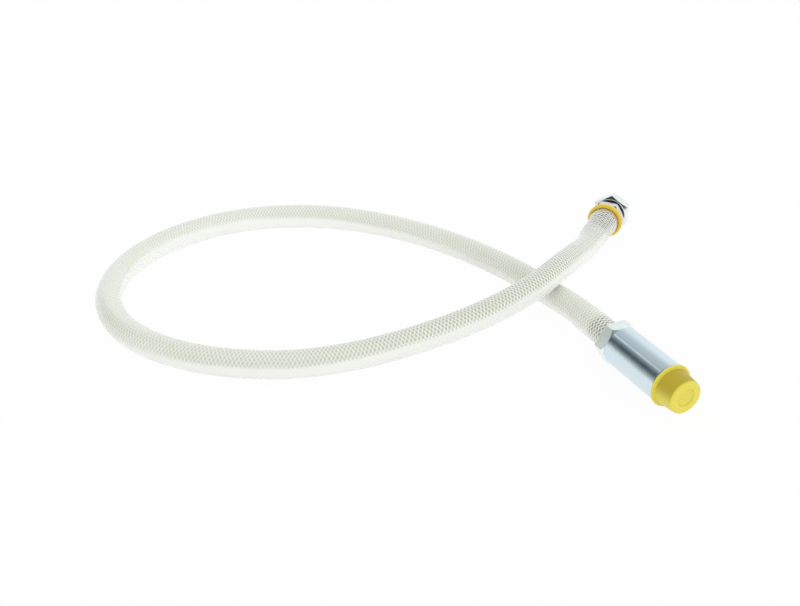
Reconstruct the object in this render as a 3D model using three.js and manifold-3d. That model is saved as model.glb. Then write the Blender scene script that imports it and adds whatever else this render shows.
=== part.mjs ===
// An oil drain hose: one metre of clear braided hose lying in a loop, with a self-closing
// threaded valve coupling under a push-on cap at one end and a swivel nut at the other.
// Millimetres, +Z up, standing on z = 0. The swivel end points along +Y.
import * as THREE from "three";
import { mergeVertices, toCreasedNormals } from "three/addons/utils/BufferGeometryUtils.js";
import Module from "manifold-3d";

const wasm = await Module();
wasm.setup();

// Clearances
const SEAT_GAP = 0.3; // between two pieces that rest on each other
const SLIDE_GAP = 0.35; // round a piece that slides or turns in another
const THREAD_GAP = 0.3; // round a screwed or pressed joint, drawn without its thread
const RING_GAP = 0.1; // between a rubber ring and the groove that it grips
const CAP_GAP = 0.5; // between the cap's mouth and the ring that it is pushed over
const CUT_PAST = 1; // how far a cut runs past the face that it opens
const JOIN_DEPTH = 1; // how far one form reaches into the one that it is joined to

// Hose
const HOSE_OUTSIDE = 19; // diameter
const HOSE_WALL = 3;
const HOSE_SIDES = 12;
const HOSE_STEPS = 48;

// Barbed tails inside the hose ends
const TAIL_LENGTH = 32;
const TAIL_BORE = 8.5; // diameter of the way through
const TAIL_RELIEF = 0.9; // depth of the barbs
const BARB_PITCH = 7;
const BARB_COUNT = 4;
const BARB_LAND = 0.9; // length of each barb's crest
const TAIL_TIP_CHAMFER = 1.2;
const VALVE_TAIL_CREST = 13.2; // diameter over the barbs
const SWIVEL_TAIL_CREST = 14.4;
const SWELL_RUN_OUT = 5; // length over which the stretched hose end comes back to size

// Valve coupling body: hexagon, barrel and threaded nose in one turned piece
const VALVE_HEX_FLATS = 27;
const VALVE_HEX_LENGTH = 9;
const VALVE_HEX_CHAMFER = 50; // degrees from the end face
const BARREL_OUTSIDE = 28;
const BARREL_LENGTH = 50;
const BARREL_EDGE = 0.6; // chamfer at the barrel's front
const NOSE_THREAD = 21; // outside diameter of the nose's thread
const NOSE_LENGTH = 9;
const NOSE_RELIEF_DEPTH = 0.9;
const NOSE_RELIEF_LENGTH = 2;
const NOSE_EDGE = 1;
const NOSE_BORE = 11;
const BARREL_BORE = 18;
const SOCKET_STEP = 1; // width of the shoulder between the barrel's bore and its socket for the tail
const SOCKET_DEPTH = 15;
const VALVE_SEAT_SLOPE = 45; // degrees from the axis

// What the barrel holds
const TAIL_SEAL_THICKNESS = 1.2;
const TAIL_SEAL_STEP = 1.5; // how far the washer's hole stands back from the tail's bore
const GUIDE_THICKNESS = 2.8;
const GUIDE_HUB = 9.5; // diameter
const GUIDE_SLOTS = 3;
const GUIDE_RIM = 1.4; // width of the ring outside the slots
const GUIDE_SPOKE = 3; // width between two slots
const STEM_THICKNESS = 6; // diameter of the poppet's stem
const STEM_OVERHANG = 5; // length of stem behind the guide
const POPPET_FLANGE = 2.5; // thickness of the poppet's round head
const POPPET_PIN = 7; // diameter of the pin that the drain port pushes
const PIN_SETBACK = 0.6; // the pin's end lies this far inside the nose
const RING_SECTION = 1.6; // thickness of the poppet's and the nose's rings
const SPRING_WIRE = 1.3;
const SPRING_OUTSIDE = 14.4;
const SPRING_TURNS = 7;

// Protective cap, sized from the threaded nose that it covers
const CAP_FLANGE_WIDTH = 1.8; // how far the flange stands out from the cap's side
const CAP_FLANGE_THICKNESS = 1.6;
const CAP_FLANGE_EDGE = 0.4; // chamfers of the flange, and the fillet in front of it
const CAP_LENGTH = 16;
const CAP_DRAFT = 1.5; // how much smaller its radius is at the closed end
const CAP_WALL = 1.2;
const CAP_END_WALL = 2.4;
const CAP_EDGE_RADIUS = 1.1;
const CAP_RECESS = 12.4; // diameter of the round recess in the closed end
const CAP_RECESS_DEPTH = 0.9;
const CAP_RECESS_SLOPE = 0.3; // how far the recess's side leans, to each side of its diameter

// Swivel end
const COLLAR_OUTSIDE = 28.4;
const COLLAR_DEPTH = 2.5; // how far the collar covers the hose
const COLLAR_WEB = 1.8;
const COLLAR_EDGE_RADIUS = 1.2;
const SWIVEL_HEX_FLATS = 24;
const SWIVEL_HEX_LENGTH = 7.5;
const SWIVEL_HEX_CHAMFER = 35;
const NECK_OUTSIDE = 17.4;
const NECK_SHOWN = 1.8; // length of neck between the hexagon and the nut
const WIRE_THICKNESS = 1.6;
const WIRE_SETBACK = 2.6; // from the nut's back face to the middle of the wire
const CONE_TIP = 14.6; // diameter at the front of the sealing cone
const CONE_LENGTH = 3.4;
const CONE_RING_THICKNESS = 1.3;
const NUT_FLATS = 27;
const NUT_LENGTH = 12;
const NUT_CHAMFER = 30;
const NUT_BORE = 20.5; // inside diameter of its thread
const NUT_LEAD_IN = 1; // chamfers at both ends of its thread
const NUT_LIP = 4.2; // length of the narrow bore at its back
const NUT_MOUTH = 4.4; // depth of free thread in front of the cone

// Where the two ends lie. The loop's points were chosen by hand.
const VALVE_HEADING = -38.6; // degrees from +X, the way the cap faces
const FLOOR_GAP = 0.05; // keeps the nut's corner off the floor as it turns
const VALVE_END = [155.2, -27.2];
const SWIVEL_END = [98.7, 147.95];
const LOOP = [
  [117.7, 3.0, 14.2],
  [108.6, 10.6, 12.8],
  [99.3, 18.3, 11.1],
  [89.8, 25.5, 9.9],
  [79.9, 32.2, 9.6],
  [69.5, 38.2, 9.6],
  [40.2, 51.6, 9.6],
  [6.1, 63.0, 9.6],
  [-29.3, 70.3, 9.6],
  [-65.3, 72.7, 9.6],
  [-101.3, 69.0, 9.6],
  [-135.7, 57.7, 9.6],
  [-166.1, 38.4, 9.6],
  [-190.3, 11.5, 9.6],
  [-205.9, -20.9, 9.6],
  [-211.6, -56.6, 9.6],
  [-206.4, -92.3, 9.6],
  [-189.6, -124.1, 9.6],
  [-162.4, -147.5, 9.6],
  [-128.5, -160.0, 9.6],
  [-92.5, -161.7, 9.6],
  [-57.1, -154.1, 9.6],
  [-24.3, -139.1, 9.9],
  [5.7, -118.8, 12.3],
  [33.0, -95.2, 16.6],
  [57.7, -68.5, 21.6],
  [78.2, -38.8, 26.4],
  [92.5, -5.7, 29.8],
  [98.8, 23.6, 30.8],
  [100.8, 48.5, 27.8],
  [100.8, 68.0, 23.5],
  [100.3, 84.0, 19.6],
  [99.5, 99.0, 16.8],
];
const STRAIGHT_STEP = 17; // spacing of the points on the straight run beside each fitting
const STRAIGHT_POINTS = 3;

// Fineness of round forms
const ROUND = 36;
const SMALL_ROUND = 24;
const RING_ROUND = 8;
const SPRING_STEPS_PER_TURN = 14;
const SPRING_WIRE_SEGMENTS = 3; // of half the wire's section
const WELD = 1e-4;
const CREASE = Math.PI / 5;

const steel = new THREE.MeshStandardMaterial({ color: 0xb9c3cb, roughness: 0.28, metalness: 1 });
const brightSteel = new THREE.MeshStandardMaterial({ color: 0xc9ced2, roughness: 0.22, metalness: 1 });
const springSteel = new THREE.MeshStandardMaterial({ color: 0x9aa0a6, roughness: 0.35, metalness: 1 });
const brass = new THREE.MeshStandardMaterial({ color: 0xb99a55, roughness: 0.35, metalness: 1 });
const rubber = new THREE.MeshStandardMaterial({ color: 0x1b1c1e, roughness: 0.7, metalness: 0 });
const clearHose = new THREE.MeshStandardMaterial({ color: 0xd9dacb, roughness: 0.3, metalness: 0 });
const yellowCap = new THREE.MeshStandardMaterial({ color: 0xe3d23c, roughness: 0.45, metalness: 0 });
const amberCollar = new THREE.MeshStandardMaterial({ color: 0xeab52a, roughness: 0.4, metalness: 0 });

const radians = THREE.MathUtils.degToRad;

// A closed geometry as a solid that can be joined and cut.
function solid(geometry) {
  const bare = geometry.clone();
  bare.deleteAttribute("normal");
  bare.deleteAttribute("uv");
  const merged = mergeVertices(bare, WELD);
  return new wasm.Manifold(
    new wasm.Mesh({
      numProp: 3,
      vertProperties: merged.getAttribute("position").array,
      triVerts: merged.index.array,
    }),
  );
}

function geometryOf(shape) {
  const mesh = shape.getMesh();
  const geometry = new THREE.BufferGeometry();
  geometry.setAttribute("position", new THREE.BufferAttribute(mesh.vertProperties, 3));
  geometry.setIndex(new THREE.BufferAttribute(mesh.triVerts, 1));
  return toCreasedNormals(geometry, CREASE);
}

function piece(name, shape, material) {
  const mesh = new THREE.Mesh(geometryOf(shape), material);
  mesh.name = name;
  return mesh;
}

// A profile of [radius, height] pairs turned about Z. It starts and ends on the axis.
function turned(profile, segments = ROUND) {
  const points = profile.map(([radius, height]) => new THREE.Vector2(radius, height));
  return solid(new THREE.LatheGeometry(points, segments).rotateX(Math.PI / 2));
}

// A plain round bar from one height to another.
function bar(diameter, from, to, segments = ROUND) {
  return turned([[0, from], [diameter / 2, from], [diameter / 2, to], [0, to]], segments);
}

// A closed profile turned about Z, such as a washer or a collar.
function ring(profile, segments = ROUND) {
  return turned([...profile, profile[0]], segments);
}

// A ring of round section, such as an O-ring.
function roundRing(meanRadius, thickness, height, segments = ROUND) {
  const profile = [];
  for (let i = 0; i < RING_ROUND; i += 1) {
    const angle = (2 * Math.PI * i) / RING_ROUND;
    profile.push([
      meanRadius + (thickness / 2) * Math.cos(angle),
      height + (thickness / 2) * Math.sin(angle),
    ]);
  }
  return ring(profile, segments);
}

// Points on a round corner of a profile, from one angle to another, in degrees.
function arc(radius, height, size, from, to, count = 4) {
  const points = [];
  for (let i = 0; i <= count; i += 1) {
    const angle = radians(from + ((to - from) * i) / count);
    points.push([radius + size * Math.cos(angle), height + size * Math.sin(angle)]);
  }
  return points;
}

// A hexagonal bar, turned by an angle in degrees from having a corner on +X.
function hexagon(acrossFlats, from, to, turn = 0) {
  const corners = [];
  for (let i = 0; i < 6; i += 1) {
    const angle = radians(60 * i + turn);
    const reach = acrossFlats / 2 / Math.cos(radians(30));
    corners.push(new THREE.Vector2(reach * Math.cos(angle), reach * Math.sin(angle)));
  }
  const prism = new THREE.ExtrudeGeometry(new THREE.Shape(corners), {
    depth: to - from,
    bevelEnabled: false,
  });
  return solid(prism.translate(0, 0, from));
}

// The double cone that takes the corners off a hexagon's ends. A slope of zero leaves an end sharp.
function cornerCone(acrossFlats, from, to, backSlope, frontSlope, startRadius = acrossFlats / 2) {
  const reach = acrossFlats;
  const rise = (slope) => (reach - startRadius) * Math.tan(radians(slope));
  const back = backSlope ? startRadius : reach;
  const front = frontSlope ? startRadius : reach;
  return turned([
    [0, from],
    [back, from],
    [reach, from + rise(backSlope)],
    [reach, to - rise(frontSlope)],
    [front, to],
    [0, to],
  ]);
}

// A barbed tail's outline, from its tip to the last barb: each barb rises slowly and ends in a step.
function tailProfile(crest) {
  const root = crest / 2 - TAIL_RELIEF;
  const profile = [[root - TAIL_TIP_CHAMFER / 2, -TAIL_LENGTH]];
  for (let i = 0; i < BARB_COUNT; i += 1) {
    const start = -TAIL_LENGTH + TAIL_TIP_CHAMFER + i * BARB_PITCH;
    const end = start + BARB_PITCH;
    profile.push([root, start], [crest / 2, end - BARB_LAND], [crest / 2, end]);
  }
  profile.push([root, -TAIL_LENGTH + TAIL_TIP_CHAMFER + BARB_COUNT * BARB_PITCH]);
  return profile;
}

// The hose's end is stretched over the barbs: a sleeve outside, and a wider bore inside.
function hoseBoreOver(crest) {
  return crest / 2 + SEAT_GAP;
}

function swollenSleeve(crest) {
  const bore = hoseBoreOver(crest);
  const outside = bore + HOSE_WALL;
  const hoseRadius = HOSE_OUTSIDE / 2;
  return ring([
    [hoseRadius - HOSE_WALL / 2, -TAIL_LENGTH - SWELL_RUN_OUT],
    [hoseRadius, -TAIL_LENGTH - SWELL_RUN_OUT],
    [outside, -TAIL_LENGTH],
    [outside, 0],
    [hoseRadius - HOSE_WALL / 2, 0],
  ], SMALL_ROUND);
}

function swollenBore(crest) {
  const bore = hoseBoreOver(crest);
  const hoseBore = HOSE_OUTSIDE / 2 - HOSE_WALL;
  return turned([
    [0, -TAIL_LENGTH - SWELL_RUN_OUT],
    [hoseBore, -TAIL_LENGTH - SWELL_RUN_OUT],
    [bore, -TAIL_LENGTH - SEAT_GAP],
    [bore, CUT_PAST],
    [0, CUT_PAST],
  ], SMALL_ROUND);
}

// Places a group so that its +Z looks along a heading in the floor plane and its +Y looks up.
function aim(group, [x, y], height, heading) {
  const forward = new THREE.Vector3(Math.cos(radians(heading)), Math.sin(radians(heading)), 0);
  const up = new THREE.Vector3(0, 0, 1);
  const side = new THREE.Vector3().crossVectors(up, forward);
  group.quaternion.setFromRotationMatrix(new THREE.Matrix4().makeBasis(side, up, forward));
  group.position.set(x, y, height);
  group.updateMatrixWorld(true);
  return group;
}

// The nose's groove holds its ring, and the cap goes over both.
const noseGroove = NOSE_THREAD / 2 - NOSE_RELIEF_DEPTH;
const capMouth = noseGroove + RING_GAP + RING_SECTION + CAP_GAP;
const capBase = capMouth + CAP_WALL;
const capFlange = capBase + CAP_FLANGE_WIDTH;

// The heights of the two ends: the valve end lies on its widest form, which is the cap's flange, and the
// nut stands on a corner.
const valveHeight = Math.max(capFlange, BARREL_OUTSIDE / 2, VALVE_HEX_FLATS / 2);
const nutReach = NUT_FLATS / 2 / Math.cos(radians(30));
const swivelHeight = nutReach + FLOOR_GAP;
const valveEnd = aim(new THREE.Group(), VALVE_END, valveHeight, VALVE_HEADING);
const swivelEnd = aim(new THREE.Group(), SWIVEL_END, swivelHeight, 90);

// Valve end, measured from the hose's end face towards the cap
const hexBack = SEAT_GAP;
const barrelBack = hexBack + VALVE_HEX_LENGTH;
const barrelFront = barrelBack + BARREL_LENGTH;
const noseFront = barrelFront + NOSE_LENGTH;
const socketFront = hexBack + SOCKET_DEPTH;
const socketRadius = BARREL_BORE / 2 + SOCKET_STEP;
const seatBack = barrelFront - (BARREL_BORE - NOSE_BORE) / 2 / Math.tan(radians(VALVE_SEAT_SLOPE));
const guideBack = socketFront - SEAT_GAP - GUIDE_THICKNESS;
const sealBack = guideBack - SEAT_GAP - TAIL_SEAL_THICKNESS;
const plugFront = sealBack - SEAT_GAP;

function couplingBody() {
  const radius = BARREL_OUTSIDE / 2;
  const hex = hexagon(VALVE_HEX_FLATS, hexBack, barrelBack).intersect(
    cornerCone(VALVE_HEX_FLATS, hexBack, barrelBack, 0, VALVE_HEX_CHAMFER, radius),
  );
  const barrel = turned([
    [0, barrelBack - JOIN_DEPTH],
    [radius - JOIN_DEPTH, barrelBack - JOIN_DEPTH],
    [radius - JOIN_DEPTH, barrelBack],
    [radius, barrelBack],
    [radius, barrelFront - BARREL_EDGE],
    [radius - BARREL_EDGE, barrelFront],
    [noseGroove, barrelFront],
    [noseGroove, barrelFront + NOSE_RELIEF_LENGTH],
    [NOSE_THREAD / 2, barrelFront + NOSE_RELIEF_LENGTH + NOSE_RELIEF_DEPTH],
    [NOSE_THREAD / 2, noseFront - NOSE_EDGE],
    [NOSE_THREAD / 2 - NOSE_EDGE, noseFront],
    [0, noseFront],
  ]);
  const bores = turned([
    [0, hexBack - CUT_PAST],
    [socketRadius, hexBack - CUT_PAST],
    [socketRadius, socketFront],
    [BARREL_BORE / 2, socketFront],
    [BARREL_BORE / 2, seatBack],
    [NOSE_BORE / 2, barrelFront],
    [NOSE_BORE / 2, noseFront + CUT_PAST],
    [0, noseFront + CUT_PAST],
  ]);
  return hex.add(barrel).subtract(bores);
}

function valveTail() {
  const plug = socketRadius - THREAD_GAP;
  const root = VALVE_TAIL_CREST / 2 - TAIL_RELIEF;
  const outside = [...tailProfile(VALVE_TAIL_CREST), [root, hexBack], [plug, hexBack], [plug, plugFront]];
  const bore = TAIL_BORE / 2;
  return ring([[bore, -TAIL_LENGTH], ...outside, [bore, plugFront]], SMALL_ROUND);
}

function tailSeal() {
  const outside = socketRadius - THREAD_GAP;
  const inside = TAIL_BORE / 2 + TAIL_SEAL_STEP;
  const front = sealBack + TAIL_SEAL_THICKNESS;
  return ring([[inside, sealBack], [outside, sealBack], [outside, front], [inside, front]], SMALL_ROUND);
}

function springGuide() {
  const outside = socketRadius - THREAD_GAP;
  const disc = new THREE.Shape().absarc(0, 0, outside, 0, 2 * Math.PI, false);
  const hole = STEM_THICKNESS / 2 + SLIDE_GAP;
  disc.holes.push(new THREE.Path().absarc(0, 0, hole, 0, 2 * Math.PI, true));
  const inner = GUIDE_HUB / 2;
  const outer = BARREL_BORE / 2 - GUIDE_RIM / 2;
  for (let i = 0; i < GUIDE_SLOTS; i += 1) {
    const middle = radians((360 / GUIDE_SLOTS) * i + 90);
    const half = radians(180 / GUIDE_SLOTS) - GUIDE_SPOKE / (inner + outer);
    const slot = new THREE.Path();
    slot.absarc(0, 0, outer, middle - half, middle + half, false);
    slot.absarc(0, 0, inner, middle + half, middle - half, true);
    slot.closePath();
    disc.holes.push(slot);
  }
  const plate = new THREE.ExtrudeGeometry(disc, {
    depth: GUIDE_THICKNESS,
    bevelEnabled: false,
    curveSegments: SMALL_ROUND / 2,
  });
  return solid(plate.translate(0, 0, guideBack));
}

// The poppet's cone lies behind the body's seat by the slide gap, so that its ring closes the valve.
const poppetSlope = Math.tan(radians(VALVE_SEAT_SLOPE));
const coneBack = seatBack - SLIDE_GAP;
const headRadius = BARREL_BORE / 2 - SLIDE_GAP;
const headFront = coneBack + SLIDE_GAP / poppetSlope;
const headBack = headFront - POPPET_FLANGE;
const pinRadius = POPPET_PIN / 2;
const coneEndRadius = NOSE_BORE / 2 - SLIDE_GAP;
const coneFront = headFront + (headRadius - coneEndRadius) / poppetSlope - SLIDE_GAP;
const ringRadius = headRadius - RING_SECTION / 2;
const poppetRingMiddle = headBack + POPPET_FLANGE / 2;

function poppet() {
  const stem = STEM_THICKNESS / 2;
  const groove = RING_SECTION / 2 + SEAT_GAP / 2;
  const grooveRadius = headRadius - RING_SECTION - SEAT_GAP / 2;
  return turned([
    [0, guideBack - STEM_OVERHANG],
    [stem, guideBack - STEM_OVERHANG],
    [stem, headBack],
    [headRadius, headBack],
    [headRadius, poppetRingMiddle - groove],
    [grooveRadius, poppetRingMiddle - groove],
    [grooveRadius, poppetRingMiddle + groove],
    [headRadius - SLIDE_GAP, poppetRingMiddle + groove],
    [headRadius - SLIDE_GAP, headFront],
    [coneEndRadius, coneFront],
    [pinRadius, coneFront],
    [pinRadius, noseFront - PIN_SETBACK],
    [0, noseFront - PIN_SETBACK],
  ], SMALL_ROUND);
}

class Helix extends THREE.Curve {
  constructor(radius, from, to, turns) {
    super();
    Object.assign(this, { radius, from, to, turns });
  }
  getPoint(t, target = new THREE.Vector3()) {
    const angle = 2 * Math.PI * this.turns * t;
    return target.set(
      this.radius * Math.cos(angle),
      this.radius * Math.sin(angle),
      this.from + (this.to - this.from) * t,
    );
  }
}

function valveSpring() {
  const seat = SPRING_WIRE / 2 + SEAT_GAP;
  const path = new Helix(
    (SPRING_OUTSIDE - SPRING_WIRE) / 2,
    socketFront - SEAT_GAP + seat,
    headBack - seat,
    SPRING_TURNS,
  );
  const section = new THREE.Shape().absarc(0, 0, SPRING_WIRE / 2, 0, 2 * Math.PI, false);
  return solid(
    new THREE.ExtrudeGeometry(section, {
      steps: SPRING_TURNS * SPRING_STEPS_PER_TURN,
      curveSegments: SPRING_WIRE_SEGMENTS,
      extrudePath: path,
      bevelEnabled: false,
    }),
  );
}

function noseRing() {
  const clear = RING_GAP + RING_SECTION / 2;
  return roundRing(noseGroove + clear, RING_SECTION, barrelFront + clear, SMALL_ROUND);
}

const capBack = barrelFront + SEAT_GAP;

function protectiveCap() {
  const front = capBack + CAP_LENGTH;
  const flangeFront = capBack + CAP_FLANGE_THICKNESS;
  const endRadius = capBase - CAP_DRAFT;
  const draft = THREE.MathUtils.radToDeg(Math.atan(CAP_DRAFT / (front - flangeFront)));
  const inside = front - CAP_END_WALL;
  const recess = CAP_RECESS / 2;
  const edge = CAP_EDGE_RADIUS;
  return turned([
    [0, inside],
    [endRadius - CAP_WALL, inside],
    [capMouth, capBack],
    [capFlange - CAP_FLANGE_EDGE, capBack],
    [capFlange, capBack + CAP_FLANGE_EDGE],
    [capFlange, flangeFront - CAP_FLANGE_EDGE],
    [capFlange - CAP_FLANGE_EDGE, flangeFront],
    [capBase + CAP_FLANGE_EDGE, flangeFront],
    [capBase, flangeFront + CAP_FLANGE_EDGE],
    ...arc(endRadius - edge, front - edge, edge, draft, 90),
    [recess + CAP_RECESS_SLOPE, front],
    [recess - CAP_RECESS_SLOPE, front - CAP_RECESS_DEPTH],
    [0, front - CAP_RECESS_DEPTH],
  ]);
}

// Swivel end, measured from the hose's end face towards the nut's mouth
const collarFront = SEAT_GAP + COLLAR_WEB;
const swivelHexBack = collarFront + SEAT_GAP;
const swivelHexFront = swivelHexBack + SWIVEL_HEX_LENGTH;
const nutBack = swivelHexFront + NECK_SHOWN;
const nutFront = nutBack + NUT_LENGTH;
const wireMiddle = nutBack + WIRE_SETBACK;
const coneTipFront = nutFront - NUT_MOUTH;
const coneStart = coneTipFront - CONE_LENGTH;
const neckRadius = NECK_OUTSIDE / 2;
const wireRadius = neckRadius + SLIDE_GAP / 2;
const wireGroove = WIRE_THICKNESS / 2 + SLIDE_GAP;

function hoseCollar() {
  const outside = COLLAR_OUTSIDE / 2;
  const cup = hoseBoreOver(SWIVEL_TAIL_CREST) + HOSE_WALL + SEAT_GAP;
  const inside = SWIVEL_TAIL_CREST / 2 - TAIL_RELIEF + SEAT_GAP;
  const edge = COLLAR_EDGE_RADIUS;
  return ring([
    [cup, SEAT_GAP],
    [cup, -COLLAR_DEPTH],
    ...arc(outside - edge, -COLLAR_DEPTH + edge, edge, -90, 0),
    ...arc(outside - edge, collarFront - edge, edge, 0, 90),
    [inside, collarFront],
    [inside, SEAT_GAP],
  ]);
}

function swivelTail() {
  const root = SWIVEL_TAIL_CREST / 2 - TAIL_RELIEF;
  const bore = TAIL_BORE / 2;
  const grooveFloor = wireRadius - WIRE_THICKNESS / 2 - SLIDE_GAP;
  const coneSlope = (neckRadius - CONE_TIP / 2) / CONE_LENGTH;
  const ringMiddle = (coneStart + coneTipFront) / 2;
  const ringHalf = CONE_RING_THICKNESS / 2 + SEAT_GAP / 2;
  const coneRadius = (height) => neckRadius - coneSlope * (height - coneStart);
  const ringFloor = coneRadius(ringMiddle) - CONE_RING_THICKNESS;
  const stem = ring([
    [bore, -TAIL_LENGTH],
    ...tailProfile(SWIVEL_TAIL_CREST),
    [root, swivelHexBack + JOIN_DEPTH],
    [neckRadius, swivelHexBack + JOIN_DEPTH],
    [neckRadius, wireMiddle - wireGroove],
    [grooveFloor, wireMiddle - wireGroove],
    [grooveFloor, wireMiddle + wireGroove],
    [neckRadius, wireMiddle + wireGroove],
    [neckRadius, coneStart],
    [coneRadius(ringMiddle - ringHalf), ringMiddle - ringHalf],
    [ringFloor, ringMiddle - ringHalf],
    [ringFloor, ringMiddle + ringHalf],
    [coneRadius(ringMiddle + ringHalf), ringMiddle + ringHalf],
    [CONE_TIP / 2, coneTipFront],
    [bore, coneTipFront],
  ], SMALL_ROUND);
  const hex = hexagon(SWIVEL_HEX_FLATS, swivelHexBack, swivelHexFront)
    .intersect(
      cornerCone(SWIVEL_HEX_FLATS, swivelHexBack, swivelHexFront, SWIVEL_HEX_CHAMFER, SWIVEL_HEX_CHAMFER),
    )
    .subtract(bar(SWIVEL_TAIL_CREST, swivelHexBack - CUT_PAST, swivelHexFront + CUT_PAST));
  return hex.add(stem);
}

function coneRing() {
  const coneSlope = (neckRadius - CONE_TIP / 2) / CONE_LENGTH;
  const middle = (coneStart + coneTipFront) / 2;
  const surface = neckRadius - coneSlope * (middle - coneStart);
  const mean = surface - CONE_RING_THICKNESS / 2 + SEAT_GAP / 2;
  return roundRing(mean, CONE_RING_THICKNESS, middle, SMALL_ROUND);
}

// The wire that holds the nut on is a ring, open where its two ends meet.
function retainingWire() {
  const whole = roundRing(wireRadius, WIRE_THICKNESS, wireMiddle, SMALL_ROUND);
  const gap = new THREE.BoxGeometry(WIRE_THICKNESS, 2 * WIRE_THICKNESS, 2 * WIRE_THICKNESS);
  return whole.subtract(solid(gap.translate(0, -wireRadius, wireMiddle)));
}

function swivelNut() {
  const lip = neckRadius + SLIDE_GAP;
  const groove = wireRadius + WIRE_THICKNESS / 2 + SLIDE_GAP;
  const thread = NUT_BORE / 2;
  const hex = hexagon(NUT_FLATS, nutBack, nutFront, 30).intersect(
    cornerCone(NUT_FLATS, nutBack, nutFront, NUT_CHAMFER, NUT_CHAMFER),
  );
  const bore = turned([
    [0, nutBack - CUT_PAST],
    [lip, nutBack - CUT_PAST],
    [lip, wireMiddle - wireGroove],
    [groove, wireMiddle - wireGroove],
    [groove, wireMiddle + wireGroove],
    [lip, wireMiddle + wireGroove],
    [lip, nutBack + NUT_LIP],
    [thread, nutBack + NUT_LIP + NUT_LEAD_IN],
    [thread, nutFront - NUT_LEAD_IN],
    [thread + NUT_LEAD_IN, nutFront],
    [thread + NUT_LEAD_IN, nutFront + CUT_PAST],
    [0, nutFront + CUT_PAST],
  ]);
  return hex.subtract(bore);
}

// The hose's middle line: straight out of each fitting, then round the loop and over itself.
function hoseLine() {
  const along = (group, distance) => group.localToWorld(new THREE.Vector3(0, 0, -distance));
  const points = [];
  for (let i = 0; i < STRAIGHT_POINTS; i += 1) points.push(along(valveEnd, i * STRAIGHT_STEP));
  for (const [x, y, z] of LOOP) points.push(new THREE.Vector3(x, y, z));
  for (let i = STRAIGHT_POINTS - 1; i >= 0; i -= 1) points.push(along(swivelEnd, i * STRAIGHT_STEP));
  return new THREE.CatmullRomCurve3(points, false, "centripetal");
}

function polygon(diameter, sides) {
  const corners = [];
  for (let i = 0; i < sides; i += 1) {
    const angle = (2 * Math.PI * i) / sides;
    corners.push(new THREE.Vector2((diameter / 2) * Math.cos(angle), (diameter / 2) * Math.sin(angle)));
  }
  return corners;
}

function hose() {
  const section = new THREE.Shape(polygon(HOSE_OUTSIDE, HOSE_SIDES));
  section.holes.push(new THREE.Path(polygon(HOSE_OUTSIDE - 2 * HOSE_WALL, HOSE_SIDES)));
  let tube = solid(
    new THREE.ExtrudeGeometry(section, {
      steps: HOSE_STEPS,
      extrudePath: hoseLine(),
      bevelEnabled: false,
    }),
  );
  for (const [end, crest] of [[valveEnd, VALVE_TAIL_CREST], [swivelEnd, SWIVEL_TAIL_CREST]]) {
    const place = end.matrixWorld.toArray();
    tube = tube.add(swollenSleeve(crest).transform(place));
    tube = tube.subtract(swollenBore(crest).transform(place));
  }
  return tube;
}

const poppetRing = () => roundRing(ringRadius, RING_SECTION, poppetRingMiddle, SMALL_ROUND);

valveEnd.add(
  piece("coupling_body", couplingBody(), steel),
  piece("valve_hose_tail", valveTail(), steel),
  piece("tail_seal", tailSeal(), rubber),
  piece("spring_guide", springGuide(), brass),
  piece("valve_spring", valveSpring(), springSteel),
  piece("poppet", poppet(), brass),
  piece("poppet_ring", poppetRing(), rubber),
  piece("nose_ring", noseRing(), rubber),
  piece("protective_cap", protectiveCap(), yellowCap),
);
swivelEnd.add(
  piece("hose_collar", hoseCollar(), amberCollar),
  piece("swivel_hose_tail", swivelTail(), brightSteel),
  piece("retaining_wire", retainingWire(), springSteel),
  piece("cone_ring", coneRing(), rubber),
  piece("swivel_nut", swivelNut(), brightSteel),
);

const drainHose = new THREE.Group();
drainHose.add(piece("hose", hose(), clearHose), valveEnd, swivelEnd);

export default drainHose;
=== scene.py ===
"""The looks of an oil drain hose: a clear braided hose lying in a loop, with a self-closing threaded
coupling under a yellow cap at one end and a swivel nut behind an amber collar at the other.

Metres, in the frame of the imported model. Sizes are written in millimetres and multiplied by MM. Those of the
two fittings stay in millimetres until placed() puts them in the frame.
"""

import math  # noqa: E402

import bmesh  # noqa: E402
import bpy  # noqa: E402
import numpy as np  # noqa: E402
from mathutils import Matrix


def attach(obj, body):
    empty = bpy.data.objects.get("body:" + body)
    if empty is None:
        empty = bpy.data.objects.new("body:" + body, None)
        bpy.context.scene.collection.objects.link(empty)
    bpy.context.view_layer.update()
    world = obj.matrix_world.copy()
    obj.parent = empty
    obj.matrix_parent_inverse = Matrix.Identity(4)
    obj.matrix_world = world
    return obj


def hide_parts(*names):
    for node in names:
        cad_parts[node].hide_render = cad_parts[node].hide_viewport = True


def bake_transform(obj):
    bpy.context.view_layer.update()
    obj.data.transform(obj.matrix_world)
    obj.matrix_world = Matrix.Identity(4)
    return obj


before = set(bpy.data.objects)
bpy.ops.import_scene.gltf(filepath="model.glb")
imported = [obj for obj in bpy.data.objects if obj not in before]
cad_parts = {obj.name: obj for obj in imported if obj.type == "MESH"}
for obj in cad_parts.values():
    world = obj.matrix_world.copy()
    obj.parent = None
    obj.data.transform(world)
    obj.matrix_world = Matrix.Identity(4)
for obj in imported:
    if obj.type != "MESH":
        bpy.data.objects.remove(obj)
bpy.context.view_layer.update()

MM = 0.001
TAU = 2 * math.pi

# The two ends of the hose: where its cut faces lie, and which way each fitting looks, in degrees from +X
VALVE_END = np.array([155.2, -27.2, 14.8]) * MM
VALVE_HEADING = -38.6
SWIVEL_END = np.array([98.7, 147.95, 15.638]) * MM
SWIVEL_HEADING = 90.0

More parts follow.
